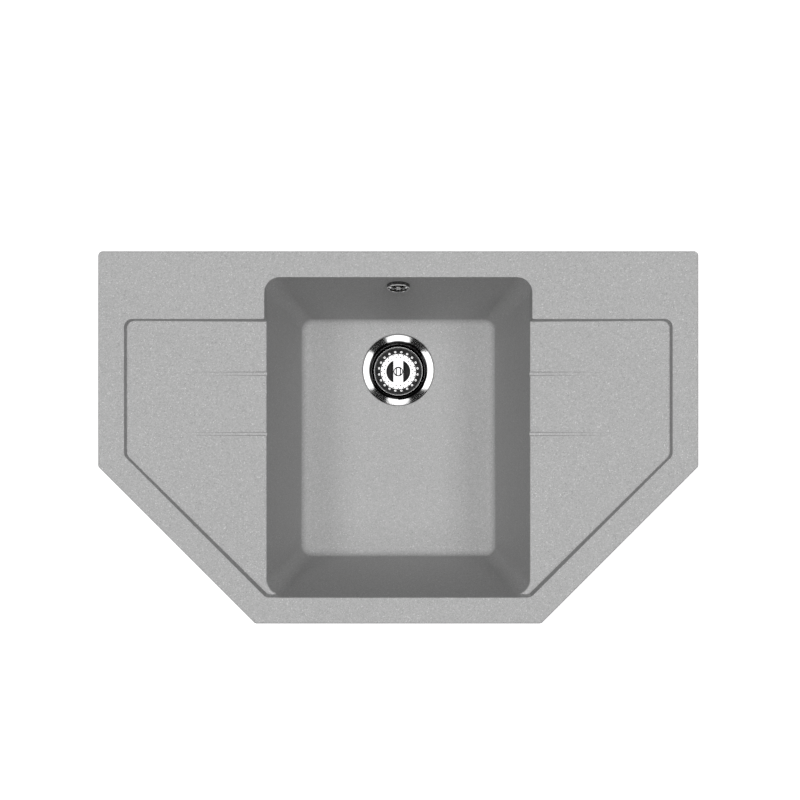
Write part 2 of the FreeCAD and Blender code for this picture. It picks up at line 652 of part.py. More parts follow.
def strainer_flange():
    """The pressed dish: conical flange, wall, ported floor and a well for the centre screw."""
    body = new_body("strainer_flange")
    well_top = "(hub_well_radius + 1.5)"
    upper = [("flange_diameter / 2", f"-{FLANGE_EDGE}"),
             ("dish_top_radius", "-flange_fall", "1.2"),
             ("dish_shelf_radius", "-dish_shelf_depth"),
             ("dish_foot_radius", "-dish_depth", "2.4"),
             (well_top, "-dish_depth", "1.5"),
             ("hub_well_radius", "-hub_well_depth", "1.5"),
             ("centre_screw_radius + seat_gap", "-hub_well_depth")]
    lower = [("centre_screw_radius + seat_gap", "-hub_well_depth - dish_sheet"),
             ("hub_well_radius + dish_sheet", "-hub_well_depth - dish_sheet", "1.5 + dish_sheet"),
             (f"{well_top} + dish_sheet", "-dish_depth - dish_sheet", "0.4"),
             ("dish_foot_radius + dish_sheet", "-dish_depth - dish_sheet", "2.4 + dish_sheet"),
             ("dish_shelf_radius + dish_sheet", "-dish_shelf_depth"),
             ("dish_top_radius + dish_sheet", "-flange_fall - dish_sheet", "1"),
             ("flange_diameter / 2", f"-{FLANGE_EDGE} - dish_sheet")]
    turned(body, outline(body, "dish_section", upper + lower, "XZ_Plane"))
    port = circles(body, "drain_port", [("drain_port_circle", "0", "drain_port_diameter / 2")],
                   level="-dish_depth + dish_sheet")
    cut = pocket(body, port, "3 * dish_sheet")
    circular_copies(body, cut, "Z_Axis", "drain_port_count")
    return at_drain(body)


def flange_gasket():
    """Washer between the flange and its seat; its top follows the flange."""
    body = new_body("flange_gasket")
    inner = "(drain_hole_diameter / 2 + 2.5)"
    outer = "(flange_diameter / 2 - 0.5)"

    def under_flange(radius):
        return f"-{FLANGE_EDGE} - dish_sheet - (flange_diameter / 2 - {radius}) * {FLANGE_SLOPE}"

    section = [(inner, "-flange_seat_depth"), (outer, "-flange_seat_depth"),
               (outer, under_flange(outer)), (inner, under_flange(inner))]
    turned(body, outline(body, "flange_gasket_section", section, "XZ_Plane"))
    return at_drain(body)


WASTE_TOP = "(-wall - lower_gasket_thickness)"
HUB_TOP = "(-hub_well_depth - dish_sheet - seat_gap)"


def lower_gasket():
    body = new_body("lower_gasket")
    tube(body, "lower_gasket_section", "drain_hole_diameter / 2 + 1", "waste_flange_radius", "-wall", WASTE_TOP)
    return at_drain(body)


def waste_body():
    """Cup under the bowl, with a hub on spokes and a side inlet."""
    body = new_body("waste_body")
    bore = "(waste_cup_radius - waste_wall)"
    section = [("waste_flange_radius", WASTE_TOP),
               ("waste_flange_radius", f"{WASTE_TOP} - waste_flange_thickness"),
               ("waste_cup_radius", f"{WASTE_TOP} - waste_flange_thickness"),
               ("waste_cup_radius", "-waste_cup_depth"),
               ("outlet_diameter / 2", "-waste_cone_depth"),
               ("outlet_bore / 2", "-waste_cone_depth"),
               ("outlet_bore / 2", "-waste_cone_depth + waste_wall / 2"),
               (bore, "-waste_cup_depth + waste_wall / 2"),
               (bore, WASTE_TOP)]
    turned(body, outline(body, "waste_section", section, "XZ_Plane"))
    spoke = [("insert_radius", HUB_TOP), ("waste_cup_radius - waste_wall / 2", HUB_TOP),
             ("waste_cup_radius - waste_wall / 2", "-waste_cup_depth + waste_wall / 4"),
             ("(outlet_diameter + outlet_bore) / 4", "-waste_cone_depth + waste_wall / 4"),
             ("insert_radius", "-waste_cone_depth + waste_wall / 4")]
    rib = pad(body, outline(body, "spoke_section", spoke, "XZ_Plane"), "spoke_thickness", both_ways=True)
    circular_copies(body, rib, "Z_Axis", "spoke_count")
    hub = [("0", HUB_TOP), ("hub_radius", HUB_TOP), ("hub_radius", "-waste_cone_depth + waste_wall / 4"),
           ("0", "-waste_cone_depth + waste_wall / 4")]
    turned(body, outline(body, "hub_section", hub, "XZ_Plane"))
    bores = [("0", f"{HUB_TOP} + {OVERCUT}"), ("insert_radius + running_fit", f"{HUB_TOP} + {OVERCUT}"),
             ("insert_radius + running_fit", f"{HUB_TOP} - insert_length"),
             ("centre_screw_radius + seat_gap", f"{HUB_TOP} - insert_length"),
             ("centre_screw_radius + seat_gap", "-waste_cone_depth"), ("0", "-waste_cone_depth")]
    turned(body, outline(body, "hub_bore_section", bores, "XZ_Plane"), cut=True)
    inlet_end = "(waste_cup_radius + inlet_length)"
    inlet = circles(body, "inlet_outside", [("0", "-inlet_depth", "hose_valley_radius")],
                    "XZ_Plane", f"-{inlet_end}")
    pad(body, inlet, "inlet_length + waste_wall")
    inlet_bore = circles(body, "inlet_bore", [("0", "-inlet_depth", "hose_bore / 2")],
                         "XZ_Plane", f"-{inlet_end}")
    pocket(body, inlet_bore, "inlet_length + 3 * waste_wall", reverse=True)
    return at_drain(body)


def waste_outlet():
    """Outlet tube with the union nut's thread, joined flat to the end of the cup's cone."""
    body = new_body("waste_outlet")
    tube(body, "waste_outlet_section", "outlet_bore / 2", "outlet_diameter / 2",
         "-waste_cone_depth", "-outlet_depth")
    return at_drain(body)


def centre_insert():
    body = new_body("centre_insert")
    tube(body, "centre_insert_section", "centre_screw_radius", "insert_radius",
         HUB_TOP, f"{HUB_TOP} - insert_length")
    return at_drain(body)


def centre_screw():
    """Hollow screw that pulls dish and waste body together and guides the basket's pin."""
    body = new_body("centre_screw")
    thread = "(centre_screw_radius - running_fit)"
    bore = "(pin_radius + running_fit)"
    head = "(-hub_well_depth + centre_head_height)"
    end = "(-hub_well_depth - centre_screw_length)"
    section = [("0", end), (thread, end), (thread, "-hub_well_depth"),
               ("centre_head_radius", "-hub_well_depth"), ("centre_head_radius", head),
               (bore, head), (bore, "-pin_depth - 1"), ("0", "-pin_depth - 1")]
    turned(body, outline(body, "centre_screw_section", section, "XZ_Plane"))
    slot = [("-centre_head_radius - 1", "-1"), ("centre_head_radius + 1", "-1"),
            ("centre_head_radius + 1", "1"), ("-centre_head_radius - 1", "1")]
    pocket(body, outline(body, "centre_screw_slot", slot, level=head), "centre_head_height / 2")
    return at_drain(body)


# ---------------------------------------------------------------- basket and stopper

STOPPER_FOOT = "(-dish_depth + stopper_rest_gap)"
STOPPER_TOP = f"({STOPPER_FOOT} + stopper_thickness)"
WASHER_TOP = f"({STOPPER_TOP} + stopper_washer_thickness)"


def basket_cup():
    """Perforated cup with a rolled rim and a bridge across its round opening."""
    body = new_body("basket_cup")
    bead = "(basket_rim_bead / 2)"
    bead_x = f"(basket_rim_radius - {bead})"
    bead_z = f"(-basket_rim_depth - {bead})"
    base = "-basket_base_depth"
    sheet_section = [(f"{bead_x} - basket_sheet * 0.6", f"{bead_z} + basket_sheet * 0.4"),
                     ("basket_base_radius + 1.3", base, "1.5"), ("0", base),
                     ("0", f"{base} - basket_sheet"),
                     ("basket_base_radius + 1.7", f"{base} - basket_sheet", "1.5 + basket_sheet"),
                     (f"{bead_x} + basket_sheet * 0.1", f"{bead_z} - basket_sheet * 0.4")]
    turned(body, outline(body, "cup_section", sheet_section, "XZ_Plane"))
    turned(body, circles(body, "rim_bead_section", [(bead_x, bead_z, bead)], "XZ_Plane"))
    opening = circles(body, "finger_opening", [("0", "0", "finger_hole_radius")], level=base)
    pocket(body, opening, "2 * basket_sheet")
    half = "(bridge_width / 2)"
    inside = "(bridge_width / 2 - basket_sheet)"
    foot = "(-basket_base_depth - bridge_depth)"
    channel = [(f"-{half}", foot), (f"-{inside}", foot),
               (f"-{inside}", f"{base} - basket_sheet", "bridge_edge_radius - basket_sheet"),
               (inside, f"{base} - basket_sheet", "bridge_edge_radius - basket_sheet"),
               (inside, foot), (half, foot), (half, base, "bridge_edge_radius"),
               (f"-{half}", base, "bridge_edge_radius")]
    pad(body, outline(body, "bridge_section", channel, "XZ_Plane"),
        "2 * finger_hole_radius + 1.5", both_ways=True)
    screw_hole = circles(body, "basket_screw_hole", [("0", "0", "pin_radius + seat_gap")], level=base)
    pocket(body, screw_hole, "2 * basket_sheet")
    step = "(180 / holes_per_circle)"
    holes = circles(body, "basket_holes",
                    [(f"wall_hole_circle * sin{step}", f"wall_hole_circle * cos{step}", "wall_hole_diameter / 2"),
                     (f"inner_hole_circle * sin{step}", f"inner_hole_circle * cos{step}", "base_hole_diameter / 2"),
                     ("0", "outer_hole_circle", "base_hole_diameter / 2")], level="-basket_rim_depth")
    ring = pocket(body, holes, "basket_base_depth - basket_rim_depth + 2 * basket_sheet")
    circular_copies(body, ring, "Z_Axis", "holes_per_circle")
    return at_drain(body)


def basket_screw():
    """Slotted screw; its plain lower end is the pin that guides the basket."""
    body = new_body("basket_screw")
    head = "(-basket_base_depth + basket_head_height)"
    section = [("0", "-pin_depth"), ("pin_radius - 1", "-pin_depth"), ("pin_radius", "-pin_depth + 1.5"),
               ("pin_radius", "-basket_base_depth"), ("basket_head_radius", "-basket_base_depth"),
               ("basket_head_radius", head, "0.9"), ("0", head)]
    turned(body, outline(body, "basket_screw_section", section, "XZ_Plane"))

    def slot(grow, level):
        x, y = f"(slot_width / 2 + {grow})", f"(slot_length / 2 + {grow})"
        corners = [(f"-{x}", f"-{y}", "2"), (x, f"-{y}", "2"), (x, y, "2"), (f"-{x}", y, "2")]
        return outline(body, f"basket_screw_slot_{level}", corners, level=f"{head} - slot_depth + {grow}")

    loft(body, [slot("0", "bottom"), slot("(slot_depth + 0.5)", "top")], cut=True)
    return at_drain(body)


def basket_rings():
    """The spacer, the washer, the rubber disc and the nut on the basket screw."""
    bore = "(pin_radius + running_fit)"
    spacer = new_body("basket_spacer")
    tube(spacer, "spacer_section", bore, "spacer_radius", "-basket_base_depth - basket_sheet", WASHER_TOP)
    washer = new_body("stopper_washer")
    tube(washer, "washer_section", bore, "stopper_washer_radius", WASHER_TOP, STOPPER_TOP)
    rubber = new_body("stopper_rubber")
    section = [(bore, STOPPER_FOOT), ("stopper_radius - 2", STOPPER_FOOT),
               ("stopper_radius", f"{STOPPER_FOOT} + 0.6"), ("stopper_radius", f"{STOPPER_TOP} - 1.4"),
               ("stopper_radius - 1.4", STOPPER_TOP), (bore, STOPPER_TOP)]
    turned(rubber, outline(rubber, "rubber_section", section, "XZ_Plane"))
    nut = new_body("stopper_nut")
    corner = "(nut_across_flats / 2 / cos(30))"
    hexagon = [(f"{corner} * cos({angle})", f"{corner} * sin({angle})") for angle in range(0, 360, 60)]
    pad(nut, outline(nut, "nut_outline", hexagon, level=STOPPER_FOOT), "nut_height", reverse=True)
    pocket(nut, circles(nut, "nut_bore", [("0", "0", bore)], level=STOPPER_FOOT), "nut_height")
    for body in (spacer, washer, rubber, nut):
        at_drain(body)


# ---------------------------------------------------------------- overflow
# These parts are drawn about the overflow's axis: 0 is the bowl's face, + is into the bowl.

def at_overflow(body):
    place(body, y=OVERFLOW_Y, z=OVERFLOW_Z, turn=INTO_BOWL)
    return body


SEAL_BACK = "(-wall - overflow_seal_thickness)"
ELBOW_BACK = f"({SEAL_BACK} - elbow_depth)"
POST_FRONT = f"({SEAL_BACK} - elbow_wall)"
SPIGOT_Y = f"({OVERFLOW_Y} + spigot_place)"


def overflow_rosette():
    """Chromed grid with a collar that sits in the wall's hole."""
    body = new_body("overflow_rosette")
    inner = "(rosette_diameter / 2 - rosette_ring)"
    collar = "(overflow_hole_diameter / 2 - seat_gap)"
    ring = [(f"{collar} - 1", "2 - wall"), (collar, "2 - wall"), (collar, "0"),
            ("rosette_diameter / 2", "0"), ("rosette_diameter / 2", "rosette_height - 1", "1.6"),
            (inner, "rosette_height", "0.6"), (inner, "1"), (f"{collar} - 1", "1")]
    turned(body, outline(body, "rosette_ring_section", ring, "XZ_Plane"))
    level = "rosette_height / 2"
    half = "(rosette_arm / 2)"
    reach = f"({inner} + rosette_ring / 2)"
    arm = [("0", f"-{half}"), (reach, f"-{half}"), (reach, half), ("0", half)]
    across = pad(body, outline(body, "rosette_arm_outline", arm, level=level), "rosette_height / 2 - 0.5")
    circular_copies(body, across, "Z_Axis", "rosette_arm_count")
    hub = circles(body, "rosette_hub", [("0", "0", "rosette_hub_radius")], level=level)
    pad(body, hub, "rosette_height / 2 - 0.2")
    bore = circles(body, "rosette_bore", [("0", "0", "overflow_screw_radius + seat_gap")], level="rosette_height")
    pocket(body, bore, "rosette_height")
    return at_overflow(body)


def overflow_screw():
    body = new_body("overflow_screw")
    seat = "(rosette_height - 0.2)"
    end = f"({ELBOW_BACK} + elbow_wall + 1)"
    thread = "(overflow_screw_radius - running_fit)"
    section = [("0", end), (thread, end), (thread, seat), ("overflow_head_radius", seat),
               ("overflow_head_radius", f"{seat} + 1.4", "1"), ("0", f"{seat} + 1.4")]
    turned(body, outline(body, "overflow_screw_section", section, "XZ_Plane"))
    reach = "(overflow_head_radius + 1)"
    slot = [(f"-{reach}", "-0.5"), (reach, "-0.5"), (reach, "0.5"), (f"-{reach}", "0.5")]
    pocket(body, outline(body, "overflow_screw_slot", slot, level=f"{seat} + 1.4"), "0.9")
    return at_overflow(body)


def overflow_seal():
    body = new_body("overflow_seal")
    tube(body, "overflow_seal_section", "overflow_hole_diameter / 2 + 1", "elbow_radius", "-wall", SEAL_BACK)
    return at_overflow(body)


def overflow_elbow():
    """Flat chamber behind the wall, with a post for the screw and a spigot for the hose."""
    body = new_body("overflow_elbow")
    bore = "(elbow_radius - elbow_wall)"
    post = "(overflow_screw_radius + 1.5 + running_fit)"
    floor = f"({ELBOW_BACK} + elbow_wall)"
    mouth = "(overflow_hole_diameter / 2 + 0.5)"
    section = [(post, POST_FRONT), (f"{post} + 1.5", POST_FRONT), (f"{post} + 1.5", floor),
               (bore, floor), (bore, POST_FRONT), (mouth, POST_FRONT), (mouth, SEAL_BACK),
               ("elbow_radius", SEAL_BACK), ("elbow_radius", ELBOW_BACK), ("0", ELBOW_BACK),
               ("0", f"{ELBOW_BACK} + 1"), (post, f"{ELBOW_BACK} + 1")]
    turned(body, outline(body, "elbow_section", section, "XZ_Plane"))
    lean = math.radians(number("bowl_draft"))
    down = Vector(0, -math.cos(lean), -math.sin(lean))
    outwards = Vector(0, math.sin(lean), -math.cos(lean))

    def beside_axis(drop):
        """The point of the spigot's axis at a depth below the overflow's centre, as drawn here."""
        return down * drop + outwards * number("spigot_place")

    starts = {"PartDesign::AdditiveCylinder": ("hose_valley_radius", number(bore) - 2),
              "PartDesign::SubtractiveCylinder": ("hose_bore / 2", number(bore) - 1)}
    length = number(f"{OVERFLOW_Z} + spigot_end")
    for kind, (radius, start) in starts.items():
        before = volume(body)
        spigot = body.newObject(kind, "spigot" if "Additive" in kind else "spigot_bore")
        spigot.setExpression("Radius", bound(radius))
        spigot.Height = length - start
        spigot.Placement = Placement(beside_axis(start), Rotation(Vector(0, 0, 1), down))
        finish(spigot, before, adds="Additive" in kind)
    return at_overflow(body)


def overflow_insert():
    body = new_body("overflow_insert")
    tube(body, "overflow_insert_section", "overflow_screw_radius", "overflow_screw_radius + 1.5",
         POST_FRONT, f"{ELBOW_BACK} + 1")
    return at_overflow(body)


HOSE_TOP = "(-spigot_end - hose_seal_thickness)"
INLET_Z = f"({FLOOR} - inlet_depth)"
INLET_END = f"({DRAIN_Y} + waste_cup_radius + inlet_length)"


def hose_route():
    """Down from the spigot, one bend, forward to the waste body's inlet."""
    y, end_y = number(SPIGOT_Y), number(f"{INLET_END} + hose_seal_thickness")
    top, bottom = number(HOSE_TOP), number(INLET_Z)
    bend = number("hose_bend_radius")
    centre = Vector(0, y - bend, bottom + bend)
    halfway = centre + Vector(0, bend, -bend) / math.sqrt(2)
    return [Part.LineSegment(Vector(0, y, top), Vector(0, y, bottom + bend)).toShape(),
            Part.Arc(Vector(0, y, bottom + bend), halfway, Vector(0, y - bend, bottom)).toShape(),
            Part.LineSegment(Vector(0, y - bend, bottom), Vector(0, end_y, bottom)).toShape()]


def overflow_hose():
    """Ribbed tube: ruled lofts through circles across its route, then the bore."""
    runs = hose_route()
    length = sum(run.Length for run in runs)
    plain = number("hose_plain_end")
    ribs = int((length - 2 * plain) / number("rib_pitch"))
    pitch = (length - 2 * plain) / ribs
    valley, crest = number("hose_valley_radius"), number("hose_radius")

    def circle_at(distance, radius):
        """A circle across the route; its own X axis stays the sink's X axis."""
        for run in runs:
            if distance <= run.Length + 1e-6:
                break
            distance -= run.Length
        parameter = run.getParameterByLength(min(distance, run.Length))
        circle = Part.Circle(run.valueAt(parameter), run.tangentAt(parameter), radius)
        circle.XAxis = Vector(1, 0, 0)
        return Part.Wire(circle.toShape())

    stations = [(0, valley), (plain, valley)]
    for rib in range(ribs):
        start = plain + rib * pitch
        stations += [(start + pitch * share, radius) for share, radius in
                     ((0.25, crest), (0.55, crest), (0.8, valley), (1, valley))]
    stations.append((length, valley))
    skin = Part.makeLoft([circle_at(distance, radius) for distance, radius in stations], True, True)
    mouth = Part.Wire(Part.Circle(runs[0].valueAt(runs[0].FirstParameter), Vector(0, 0, -1),
                                  number("hose_bore / 2")).toShape())
    core = Part.Wire(runs).makePipeShell([mouth], True, False)
    hose = doc.addObject("Part::Feature", "overflow_hose")
    hose.Label = "overflow_hose"
    hose.Shape = skin.cut(core)
    hose.Placement = Placement()
    sub_parts.append(hose)
    return hose


def hose_nut(label, **where):
    """Union nut with grip flutes; drawn about Z, with its middle at 0."""
    body = new_body(label)
    half = "(hose_nut_length / 2)"
    tube(body, f"{label}_section", "hose_valley_radius + seat_gap", "nut_grip_radius", half, f"-{half}")
    flute = circles(body, f"{label}_flute", [("nut_grip_radius + 0.6", "0", "1.3")], level=half)
    circular_copies(body, pocket(body, flute, "hose_nut_length"), "Z_Axis", "12")
    place(body, **where)
    return body


def hose_ends():
    """A nut and a seal where the hose meets the spigot, and where it meets the inlet."""
    sideways = (Vector(1, 0, 0), "90")
    hose_nut("hose_nut_upper", y=SPIGOT_Y, z="-spigot_end")
    hose_nut("hose_nut_lower", y=f"{INLET_END} + 1", z=INLET_Z, turn=sideways)
    upper = new_body("hose_seal_upper")
    tube(upper, "hose_seal_upper_section", "hose_bore / 2", "hose_valley_radius", "0", "-hose_seal_thickness")
    place(upper, y=SPIGOT_Y, z="-spigot_end")
    lower = new_body("hose_seal_lower")
    tube(lower, "hose_seal_lower_section", "hose_bore / 2", "hose_valley_radius", "0", "-hose_seal_thickness")
    place(lower, y=INLET_END, z=INLET_Z, turn=sideways)


# ---------------------------------------------------------------- clamps
# Each clamp is drawn about its screw, with the worktop's surface at 0.

TOOTH_TOP = "(-worktop_thickness - claw_clearance)"
CLAW_TOP = f"({TOOTH_TOP} - claw_drop)"
CLAW_FOOT = f"({CLAW_TOP} - claw_sheet)"


def clamp_dowels():
    """Eight nylon plugs, one in each boss."""
    pattern = new_body("clamp_dowel_pattern", exported=False)
    bore = "(clamp_screw_radius + running_fit)"
    section = [(bore, "-boss_height - dowel_collar_height"),
               ("dowel_collar_radius", "-boss_height - dowel_collar_height"),
               ("dowel_collar_radius", "-boss_height"), ("dowel_radius", "-boss_height"),
               ("dowel_radius", "dowel_depth"), (bore, "dowel_depth")]
    turned(pattern, outline(pattern, "dowel_section", section, "XZ_Plane"))
    copies = []
    for x, y, out in CLAMPS:
        plug = pattern.Shape.copy()
        plug.translate(Vector(number(x), number(y), 0))
        copies.append(plug)
    dowels = doc.addObject("Part::Feature", "clamp_dowels")
    dowels.Label = "clamp_dowels"
    dowels.Shape = Part.makeCompound(copies)
    dowels.Placement = Placement()
    sub_parts.append(dowels)


def clamp_screw(index, x, y):
    body = new_body(f"clamp_screw_{index}")
    foot = f"({CLAW_FOOT} - clamp_head_height)"
    section = [("0", foot), ("clamp_head_radius", foot, "1"), ("clamp_head_radius", CLAW_FOOT),
               ("clamp_screw_radius", CLAW_FOOT), ("clamp_screw_radius", "clamp_screw_top - 1"),
               ("clamp_screw_radius - 1", "clamp_screw_top"), ("0", "clamp_screw_top")]
    turned(body, outline(body, f"clamp_screw_section_{index}", section, "XZ_Plane"))
    long, short = "(0.7 * clamp_head_radius)", "0.6"
    cross = [(long, short), (short, short), (short, long), (f"-{short}", long), (f"-{short}", short),
             (f"-{long}", short), (f"-{long}", f"-{short}"), (f"-{short}", f"-{short}"),
             (f"-{short}", f"-{long}"), (short, f"-{long}"), (short, f"-{short}"), (long, f"-{short}")]
    pocket(body, outline(body, f"clamp_screw_cross_{index}", cross, level=foot),
           "clamp_head_height / 2", reverse=True)
    place(body, x=x, y=y)


def clamp_claw(index, x, y, out):
    """Bent steel claw, parked along the rim's edge; it turns outwards under the worktop."""
    body = new_body(f"clamp_claw_{index}")
    tooth = "(1.4 * claw_sheet)"
    section = [("-claw_heel", CLAW_FOOT), ("claw_reach - claw_drop", CLAW_FOOT),
               ("claw_reach", f"{TOOTH_TOP} - claw_sheet"), ("claw_reach", TOOTH_TOP),
               (f"claw_reach - {tooth}", TOOTH_TOP), ("claw_reach - claw_drop - 1", CLAW_TOP),
               ("-claw_heel + claw_sheet", CLAW_TOP),
               ("-claw_heel + claw_sheet", f"{CLAW_TOP} + claw_heel_height"),
               ("-claw_heel", f"{CLAW_TOP} + claw_heel_height")]
    pad(body, outline(body, f"claw_section_{index}", section, "XZ_Plane"), "claw_width", both_ways=True)
    hole = circles(body, f"claw_hole_{index}", [("0", "0", "clamp_screw_radius + running_fit")], level=CLAW_TOP)
    pocket(body, hole, "2 * claw_sheet")
    place(body, x=x, y=y, turn=(Vector(0, 0, 1), f"{out} - 90"))


# ---------------------------------------------------------------- the whole sink

def build():
    sink_basin()
    strainer_flange()
    flange_gasket()
    lower_gasket()
    waste_body()
    waste_outlet()
    centre_insert()
    centre_screw()
    basket_cup()
    basket_screw()
    basket_rings()
    overflow_rosette()
    overflow_screw()
    overflow_seal()
    overflow_elbow()
    overflow_insert()
    overflow_hose()
    hose_ends()
    clamp_dowels()
    for index, (x, y, out) in enumerate(CLAMPS, start=1):
        clamp_screw(index, x, y)
        clamp_claw(index, x, y, out)
    doc.recompute()


def check():
    """Stop where an object of the document failed or a sub-part is not sound."""
    for item in doc.Objects:
        if {"Invalid", "Error"} & set(item.State):
            raise RuntimeError(f"{item.Label}: {item.State}")
    for part in sub_parts:
        if part.Shape.isNull() or not part.Shape.isValid():
            raise RuntimeError(f"{part.Label} has no sound shape")


def write():
    os.makedirs("parts", exist_ok=True)
    for part in sub_parts:
        part.Shape.exportStep(f"parts/{part.Label}.step")


build()
check()
write()
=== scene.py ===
"""Corner kitchen sink: its finishes and small detail, with a studio and a camera.

Metres, +Z up, +Y towards the long back edge, origin in the rim's seat on the worktop.
"""
import bpy
import bmesh
import json
import math
from mathutils import Matrix, Vector

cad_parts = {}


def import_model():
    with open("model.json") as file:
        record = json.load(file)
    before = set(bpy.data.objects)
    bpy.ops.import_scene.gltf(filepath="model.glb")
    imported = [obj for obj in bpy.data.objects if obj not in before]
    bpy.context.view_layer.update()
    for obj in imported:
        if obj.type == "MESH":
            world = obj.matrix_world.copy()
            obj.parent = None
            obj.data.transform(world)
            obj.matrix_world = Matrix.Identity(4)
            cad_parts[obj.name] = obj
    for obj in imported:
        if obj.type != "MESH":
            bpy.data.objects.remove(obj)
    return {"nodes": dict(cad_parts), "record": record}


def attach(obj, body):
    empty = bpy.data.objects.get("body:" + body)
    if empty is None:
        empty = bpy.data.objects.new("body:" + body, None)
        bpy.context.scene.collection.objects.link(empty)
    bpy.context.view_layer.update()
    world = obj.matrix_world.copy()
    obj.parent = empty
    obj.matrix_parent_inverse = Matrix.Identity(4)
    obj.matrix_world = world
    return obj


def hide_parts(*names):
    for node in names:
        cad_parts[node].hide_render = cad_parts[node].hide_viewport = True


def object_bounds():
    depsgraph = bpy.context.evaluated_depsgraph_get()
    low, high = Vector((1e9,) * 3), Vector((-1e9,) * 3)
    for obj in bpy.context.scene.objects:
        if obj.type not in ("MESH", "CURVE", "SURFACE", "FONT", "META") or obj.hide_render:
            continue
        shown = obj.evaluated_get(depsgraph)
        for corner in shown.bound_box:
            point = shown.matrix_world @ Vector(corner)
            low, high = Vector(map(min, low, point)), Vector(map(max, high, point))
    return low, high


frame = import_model()
cad_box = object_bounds()
nodes = frame["nodes"]

MM = 0.001
DECK_Z = 9 * MM
RIM_HALF_LENGTH = 390 * MM
RIM_HALF_WIDTH = 242 * MM
SLANT_FROM_ORIGIN = 302.64 * MM
BOWL_HALF_LENGTH = 172.4 * MM
BOWL_HALF_WIDTH = 208.4 * MM
BELOW_GROOVES_Z = -3.5 * MM
BOWL_FLOOR_Z = -191 * MM
DRAIN_Y = 108 * MM
OVERFLOW = (0, 204.44 * MM, -22 * MM)
WALL_LEAN = math.radians(6)


# ---------------------------------------------------------------- materials from nodes

class Surface:
    """A material with one Principled shader, built up by short calls."""

    def __init__(self, name, metallic=0.0):
        self.material = bpy.data.materials.new(name)
        self.material.use_nodes = True
        self.tree = self.material.node_tree
        self.shader = self.tree.nodes["Principled BSDF"]
        self.shader.inputs["Metallic"].default_value = metallic
        coordinates = self.node("ShaderNodeTexCoord")
        self.place = coordinates.outputs["Object"]
        self.facing = coordinates.outputs["Normal"]

    def node(self, kind, inputs=None, **settings):
        made = self.tree.nodes.new(kind)
        for key, value in settings.items():
            setattr(made, key, value)
        for socket, value in (inputs or {}).items():
            self.feed(made.inputs[socket], value)
        return made

    def feed(self, socket, value):
        if isinstance(value, bpy.types.NodeSocket):
            self.tree.links.new(value, socket)
        else:
            socket.default_value = value

    def noise(self, scale, detail):
        """A cloudy pattern, mostly between 0.3 and 0.7."""
        inputs = {"Vector": self.place, "Scale": scale, "Detail": detail}
        return self.node("ShaderNodeTexNoise", inputs).outputs["Fac"]

    def grains(self, scale):
        """Two random numbers for each grain of about 1/scale metres."""
        made = self.node("ShaderNodeTexVoronoi", {"Vector": self.place, "Scale": scale})
        split = self.node("ShaderNodeSeparateColor", {"Color": made.outputs["Color"]})
        return split.outputs["Red"], split.outputs["Green"]

    def ramp(self, value, stops):
        """A colour for a value, from pairs of a position and a grey or a colour."""
        made = self.node("ShaderNodeValToRGB", {"Fac": value})
        points = made.color_ramp.elements
        while len(points) < len(stops):
            points.new(0.5)
        for point, (position, colour) in zip(points, stops):
            point.position = position
            point.color = grey(colour) if isinstance(colour, (int, float)) else colour
        return made.outputs["Color"]

    def span(self, value, low, high, to_low, to_high):
        """The value moved from one range to another, and held at its ends."""
        inputs = {"Value": value, "From Min": low, "From Max": high,
                  "To Min": to_low, "To Max": to_high}
        return self.node("ShaderNodeMapRange", inputs).outputs["Result"]

    def maths(self, operation, first, second=0.0):
        return self.node("ShaderNodeMath", {0: first, 1: second}, operation=operation).outputs[0]

    def vector_maths(self, operation, first, second):
        return self.node("ShaderNodeVectorMath", {0: first, 1: second}, operation=operation).outputs

    def product(self, first, second):
        return self.maths("MULTIPLY", first, second)

    def larger(self, first, second):
        return self.maths("MAXIMUM", first, second)

    def blend(self, kind, amount, first, second):
        made = self.node("ShaderNodeMix", data_type="RGBA", blend_type=kind)
        for index, value in ((0, amount), (6, first), (7, second)):
            self.feed(made.inputs[index], value)
        return made.outputs[2]

    def axes(self, vector):
        split = self.node("ShaderNodeSeparateXYZ", {"Vector": vector})
        return split.outputs["X"], split.outputs["Y"], split.outputs["Z"]

    def from_drain(self):
        """The distance from the drain's upright axis."""
        flat = self.vector_maths("MULTIPLY", self.place, (1, 1, 0))["Vector"]
        return self.vector_maths("DISTANCE", flat, (0, DRAIN_Y, 0))["Value"]

    def above(self, value, limit, soft):
        """Nothing below the limit and one above it, with a soft step."""
        return self.span(value, limit - soft, limit + soft, 0, 1)

    def band(self, value, low, high, soft):
        """One between low and high and nothing outside, with soft ends."""
        falling = self.span(value, high - soft, high + soft, 1, 0)
        return self.product(self.above(value, low, soft), falling)

    def ridges(self, pitch, low, high):
        """Rounded ridges a pitch apart along Z, between two heights."""
        height = self.axes(self.place)[2]
        wave = self.maths("SINE", self.product(height, math.tau / pitch))
        return self.product(wave, self.band(height, low, high, pitch / 8))

    def colour(self, value):
        self.feed(self.shader.inputs["Base Color"], value)

    def roughness(self, value):
        self.feed(self.shader.inputs["Roughness"], value)

    def bump(self, height, strength, distance):
        inputs = {"Height": height, "Strength": strength, "Distance": distance}
        self.feed(self.shader.inputs["Normal"], self.node("ShaderNodeBump", inputs).outputs["Normal"])


def grey(value, tint=(1.0, 1.0, 1.0)):
    return tuple(value * share for share in tint) + (1.0,)


# ---------------------------------------------------------------- stone

